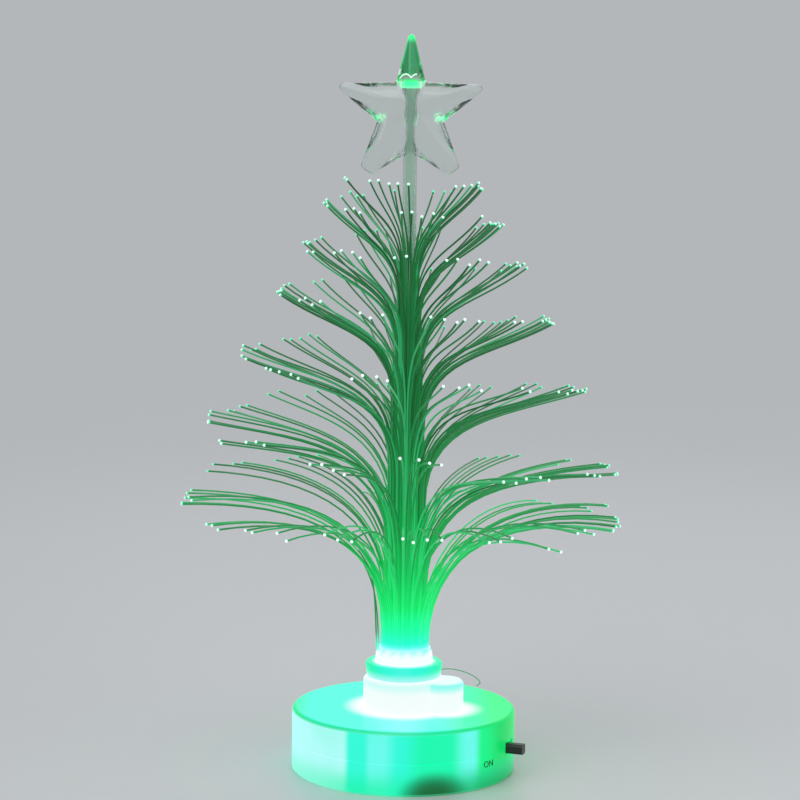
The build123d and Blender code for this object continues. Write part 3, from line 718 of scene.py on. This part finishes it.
# Materials of the CAD nodes. The fibre tiers have the strands' material.
strand = strand_material()
base_plastic = base_material()
contact_metal = plain("contact_metal", (0.72, 0.66, 0.48), 0.35, metallic=1.0)
cell_steel = plain("cell_steel", (0.7, 0.7, 0.72), 0.22, metallic=1.0)
clear_plastic = star_material()
materials = {
    "top_shell": base_plastic,
    "bottom_cover": base_plastic,
    "battery_door": base_plastic,
    "cover_screws": plain("screw_steel", (0.55, 0.55, 0.57), 0.35, metallic=1.0),
    "door_contact": contact_metal,
    "bridge_contact": contact_metal,
    "positive_contact": contact_metal,
    "negative_contact": contact_metal,
    "led_legs": contact_metal,
    "switch_terminals": contact_metal,
    "button_cell_1": cell_steel,
    "button_cell_2": cell_steel,
    "button_cell_3": cell_steel,
    "switch_housing": cell_steel,
    "circuit_board": grained("green_board", (0.02, 0.16, 0.06), (0.03, 0.22, 0.08), 0.45, grain_scale=500),
    "led_lamp": lamp_material(),
    "resistor": plain("resistor_body", (0.62, 0.5, 0.32), 0.5),
    "switch_lever": plain("black_plastic", (0.012, 0.012, 0.013), 0.35),
    "red_wire": plain("red_insulation", (0.5, 0.02, 0.02), 0.4),
    "black_wire": plain("black_insulation", (0.02, 0.02, 0.02), 0.4),
    "ferrule": ferrule_material(),
    "glue_ring": glue_material(),
    "centre_tube": tube_material(),
    "star": clear_plastic,
}
for name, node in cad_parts.items():
    node.data.materials.clear()
    node.data.materials.append(materials.get(name, strand))


# Mesh helpers
def polar_point(radius, azimuth, height):
    angle = math.radians(azimuth)
    return Vector((radius * math.cos(angle), radius * math.sin(angle), height))


def eased(before, start, end, after, t):
    """A value or point on the smooth line from start to end, with its neighbours before and after."""
    bend = (2 * before - 5 * start + 4 * end - after) * t
    curl = 3 * start - before - 3 * end + after
    return start + t * (end - before + bend + curl * t * t) / 2


def smooth_line(corners, steps):
    """Points along a smooth line through the corners."""
    points = []
    for index in range(len(corners) - 1):
        before = corners[max(index - 1, 0)]
        after = corners[min(index + 2, len(corners) - 1)]
        for step in range(steps):
            points.append(eased(before, corners[index], corners[index + 1], after, step / steps))
    return points + [corners[-1]]


def add_tube(verts, faces, points, radii, sides):
    """Adds a tube along points to the lists. Its ends are closed with one face each."""
    first = len(verts)
    across = None
    for index, (point, radius) in enumerate(zip(points, radii)):
        ahead = points[min(index + 1, len(points) - 1)]
        behind = points[max(index - 1, 0)]
        along = (ahead - behind).normalized()
        if across is None:
            across = along.orthogonal().normalized()
        across = (across - along * across.dot(along)).normalized()
        beside = along.cross(across)
        for side in range(sides):
            angle = 2 * math.pi * side / sides
            verts.append(point + (across * math.cos(angle) + beside * math.sin(angle)) * radius)
    for index in range(len(points) - 1):
        ring = first + index * sides
        for side in range(sides):
            following = (side + 1) % sides
            faces.append((ring + side, ring + following, ring + sides + following, ring + sides + side))
    faces.append(tuple(first + side for side in reversed(range(sides))))
    last = first + (len(points) - 1) * sides
    faces.append(tuple(last + side for side in range(sides)))


def new_object(name, verts, faces, materials_used=()):
    """An object in the scene with a smooth-shaded mesh."""
    mesh = bpy.data.meshes.new(name)
    mesh.from_pydata([tuple(vert) for vert in verts], [], faces)
    for material in materials_used:
        mesh.materials.append(material)
    for polygon in mesh.polygons:
        polygon.use_smooth = True
    mesh.update()
    made = bpy.data.objects.new(name, mesh)
    bpy.context.scene.collection.objects.link(made)
    return made


# Fibres
def at_turn(shares, turn):
    """A value from a table with one entry for each full turn, eased between entries."""
    low = min(int(turn), len(shares) - 2)
    before = shares[max(low - 1, 0)]
    after = shares[min(low + 2, len(shares) - 1)]
    return eased(before, shares[low], shares[low + 1], after, turn - low)


def fibre_turn(number):
    """The turn at which a fibre stands, with an even pitch along the rolled mat."""
    share = (number + 1 / 2) / fibre_count
    radius = math.sqrt(roll_outer_r**2 - (roll_outer_r**2 - roll_inner_r**2) * share)
    return roll_turns * (roll_outer_r - radius) / (roll_outer_r - roll_inner_r)


def clump_fibres(draw):
    """For each fibre the middle of its clump and how far the clump's tips stand in and up."""
    clumps = []
    while len(clumps) < fibre_count:
        size = min(draw.randint(*clump_counts), fibre_count - len(clumps))
        middle = (fibre_turn(len(clumps)) + fibre_turn(len(clumps) + size - 1)) / 2
        # The tips keep closer to their line towards the top
        reach = clump_wander * at_turn(tip_radius_shares, middle) ** 2
        clump_in = draw.uniform(-clump_out_share, 1) * reach
        clump_up = draw.uniform(-1, 1) * reach
        clumps += [(middle, clump_in, clump_up)] * size
    return clumps


def fibre_points(turn, clump, draw):
    """Points along one fibre: up the trunk, then out along a bend to its tip."""
    middle, clump_in, clump_up = clump
    foot_r = roll_outer_r - (roll_outer_r - roll_inner_r) * turn / roll_turns
    azimuth = roll_start_azimuth - 360 * turn
    turn_angle = math.degrees(draw.uniform(-1, 1) * tip_wander / fibre_spread_r)
    turn_angle += clump_pull_share * 360 * (turn - middle)
    tip_r = fibre_spread_r * at_turn(tip_radius_shares, turn) - draw.uniform(0, 1) * tip_wander - clump_in
    tip_z = collar_top_z + fibre_reach * at_turn(tip_height_shares, turn)
    tip_z += draw.uniform(-1, 1) * tip_wander + clump_up
    slope = math.radians(at_turn(tip_slope_angles, turn))
    bend_z = tip_z - bend_drop_low + (bend_drop_low - bend_drop_high) * turn / roll_turns
    pull = bend_pull_share * math.dist((foot_r, bend_z), (tip_r, tip_z))
    pulls = (
        (foot_r, bend_z),
        (foot_r, bend_z + pull),
        (tip_r - pull * math.cos(slope), tip_z - pull * math.sin(slope)),
        (tip_r, tip_z),
    )
    points = [polar_point(foot_r, azimuth, mat_foot_z + strip_h / 2)]
    for step in range(bend_steps + 1):
        t = step / bend_steps
        weights = ((1 - t) ** 3, 3 * t * (1 - t) ** 2, 3 * t * t * (1 - t), t**3)
        radius = sum(weight * pull_point[0] for weight, pull_point in zip(weights, pulls))
        height = sum(weight * pull_point[1] for weight, pull_point in zip(weights, pulls))
        swing = turn_angle * (1 - foot_r / radius)
        points.append(polar_point(radius, azimuth + swing, height))
    return points


tip_end = tip_material("lit_fibre_end", (0.85, 1.0, 0.95))
tip_side = tip_material("lit_fibre_side", (0.07, 0.8, 0.4))
fibre_materials = (strand, tip_side, tip_end)
wander = random.Random(11)
clumps = clump_fibres(wander)
fibre_turns = [fibre_turn(number) for number in range(fibre_count)]
for tier in range(math.ceil(roll_turns)):
    verts, faces = [], []
    material_numbers = {}
    for turn, clump in zip(fibre_turns, clumps):
        if not tier <= turn < tier + 1:
            continue
        points = fibre_points(turn, clump, wander)
        # A small bead of light sits on the cut end, brightest on the end itself
        outward = (points[-1] - points[-2]).normalized()
        bead = [points[-1] + outward * (bead_l * share) for share in bead_shares]
        points[-1] = bead[-2]
        add_tube(verts, faces, points, [fibre_d / 2] * len(points), fibre_sides)
        start = len(faces)
        add_tube(verts, faces, bead, [fibre_d / 2, bead_r, bead_r, bead_r * bead_end_share], bead_sides)
        end_start = start + 2 * bead_sides
        for index in range(start, end_start):
            material_numbers[index] = fibre_materials.index(tip_side)
        # The last ring of faces and the face that closes the outer end
        for index in (*range(end_start, end_start + bead_sides), end_start + bead_sides + 1):
            material_numbers[index] = fibre_materials.index(tip_end)
    piece = new_object("lit_fibres_" + str(tier + 1), verts, faces, fibre_materials)
    for index, number in material_numbers.items():
        piece.data.polygons[index].material_index = number
    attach(piece, "tree")
    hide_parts("fibre_tier_" + str(tier + 1))


# Star: the outline is puffed up front and back, the socket joined and the bore cut
def star_outline():
    """Points in the star's plane, round its centre: rounded arm ends and a notch after each."""
    outline = []
    arm_count = len(star_tip_ws)
    for arm, (tip_w, notch_share) in enumerate(zip(star_tip_ws, star_notch_shares)):
        arm_azimuth = 90 + arm * 360 / arm_count
        notch_azimuth = arm_azimuth + 180 / arm_count
        if arm == 0:
            notch_azimuth -= star_slim_angle
        if arm == arm_count - 1:
            notch_azimuth += star_slim_angle
        along = polar_point(1, arm_azimuth, 0)
        across = polar_point(1, arm_azimuth + 90, 0)
        for side, start_angle in ((-1, -corner_angle), (1, 0)):
            corner = along * (star_r - star_round_r) + across * side * (tip_w / 2 - star_round_r)
            for angle in range(start_angle, start_angle + corner_angle + 1, corner_step_angle):
                outline.append(corner + polar_point(star_round_r, arm_azimuth + angle, 0))
        outline.append(polar_point(star_r * notch_share, notch_azimuth, 0))
    return outline


def puffed_star():
    """A closed mesh of the star and its socket, still without the bore."""
    verts, faces = [], []
    outline = star_outline()
    puff = (star_depth - star_edge_t) / 2
    for side in (-1, 1):
        for ring in range(star_rings):
            share = 1 - ring / star_rings
            y = side * (star_edge_t / 2 + puff * (1 - share**puff_power) ** puff_root)
            verts += [Vector((point.x * share, y, star_centre_z + point.y * share)) for point in outline]
        verts.append(Vector((0, side * star_depth / 2, star_centre_z)))
    half = star_rings * len(outline) + 1
    for index in range(len(outline)):
        following = (index + 1) % len(outline)
        faces.append((index, following, half + following, half + index))
        for first in (0, half):
            for ring in range(star_rings - 1):
                low = first + ring * len(outline)
                high = low + len(outline)
                faces.append((low + index, low + following, high + following, high + index))
            faces.append((high + index, high + following, first + half - 1))
    socket = [Vector((0, 0, socket_low_z)), Vector((0, 0, socket_high_z))]
    add_tube(verts, faces, socket, [socket_r] * len(socket), socket_sides)
    return verts, faces


verts, faces = [], []
bore_line = [Vector((0, 0, socket_low_z - bore_overrun)), Vector((0, 0, bore_high_z))]
add_tube(verts, faces, bore_line, [bore_r] * len(bore_line), bore_sides)
bore = new_object("star_bore", verts, faces)
raw_star = new_object("raw_star", *puffed_star())
remesh = raw_star.modifiers.new("one_skin", "REMESH")
remesh.mode = "VOXEL"
remesh.voxel_size = star_voxel
smooth = raw_star.modifiers.new("soft_edges", "SMOOTH")
smooth.iterations = star_smoothing
cut = raw_star.modifiers.new("bore", "BOOLEAN")
cut.operation = "DIFFERENCE"
cut.object = bore
star_mesh = bpy.data.meshes.new_from_object(raw_star.evaluated_get(bpy.context.evaluated_depsgraph_get()))
bpy.data.objects.remove(raw_star)
bpy.data.objects.remove(bore)
star_mesh.name = "clear_star"
star_mesh.materials.clear()
star_mesh.materials.append(clear_plastic)
for polygon in star_mesh.polygons:
    polygon.use_smooth = True
star_mesh.set_sharp_from_angle(angle=math.radians(star_crease_angle))
clear_star = bpy.data.objects.new("clear_star", star_mesh)
bpy.context.scene.collection.objects.link(clear_star)
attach(clear_star, "topper")
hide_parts("star")

# Stray strands
stray_fibre = stray_material()
for name, (stray_r, corners) in strays.items():
    points = smooth_line([Vector(corner) * mm for corner in corners], stray_steps)
    verts, faces = [], []
    add_tube(verts, faces, points, [stray_r] * len(points), fibre_sides)
    stray = new_object(name, verts, faces, [stray_fibre])
    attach(stray, "tree")

# The ON beside the switch
mark_text = bpy.data.curves.new("on_mark", "FONT")
mark_text.body = "ON"
mark_text.size = mark_h
mark_text.extrude = mark_t
mark_text.align_x = "CENTER"
mark_text.materials.append(plain("mark_green", shade_green, 0.5))
mark = bpy.data.objects.new("on_mark", mark_text)
mark.location = (base_r * math.cos(mark_azimuth), base_r * math.sin(mark_azimuth), mark_z)
mark.rotation_euler = (math.radians(90), 0, mark_azimuth + math.radians(90))
bpy.context.scene.collection.objects.link(mark)
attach(mark, "base")

# Floor and backdrop in one turned surface
verts, faces = [], []
for radius, height in stage_profile:
    for side in range(stage_sides):
        verts.append(polar_point(radius, 360 * side / stage_sides, height))
for level in range(len(stage_profile) - 1):
    ring = level * stage_sides
    next_ring = ring + stage_sides
    for side in range(stage_sides):
        following = (side + 1) % stage_sides
        faces.append((ring + side, ring + following, next_ring + following, next_ring + side))
floor = new_object("floor", verts, faces, [floor_material()])

# Lamps. A view from another side would otherwise show them, and the clear star
# would show them as hard white patches.
for name, (position, power) in lamps.items():
    light = bpy.data.lights.new(name, "AREA")
    light.size = lamp_size
    light.energy = power
    lamp = bpy.data.objects.new(name, light)
    lamp.location = position
    lamp.rotation_euler = (lamp_target - Vector(position)).to_track_quat("-Z", "Y").to_euler()
    lamp.visible_camera = False
    lamp.visible_transmission = False
    bpy.context.scene.collection.objects.link(lamp)

world = bpy.data.worlds.new("studio")
world.use_nodes = True
sky = world.node_tree.nodes["Background"]
sky.inputs["Color"].default_value = (*sky_white, 1)
sky.inputs["Strength"].default_value = world_strength
bpy.context.scene.world = world
bpy.context.scene.view_settings.view_transform = "Standard"

# Camera
camera_data = bpy.data.cameras.new("camera")
camera_data.lens = camera_lens
camera_data.sensor_width = camera_sensor_w
camera_data.clip_start = camera_clip
camera = bpy.data.objects.new("camera", camera_data)
camera.location = camera_place
pitch = Matrix.Rotation(math.radians(90 - camera_pitch_angle), 3, "X")
roll = Matrix.Rotation(math.radians(camera_roll_angle), 3, "Z")
camera.rotation_euler = (pitch @ roll).to_euler()
bpy.context.scene.collection.objects.link(camera)
bpy.context.scene.camera = camera
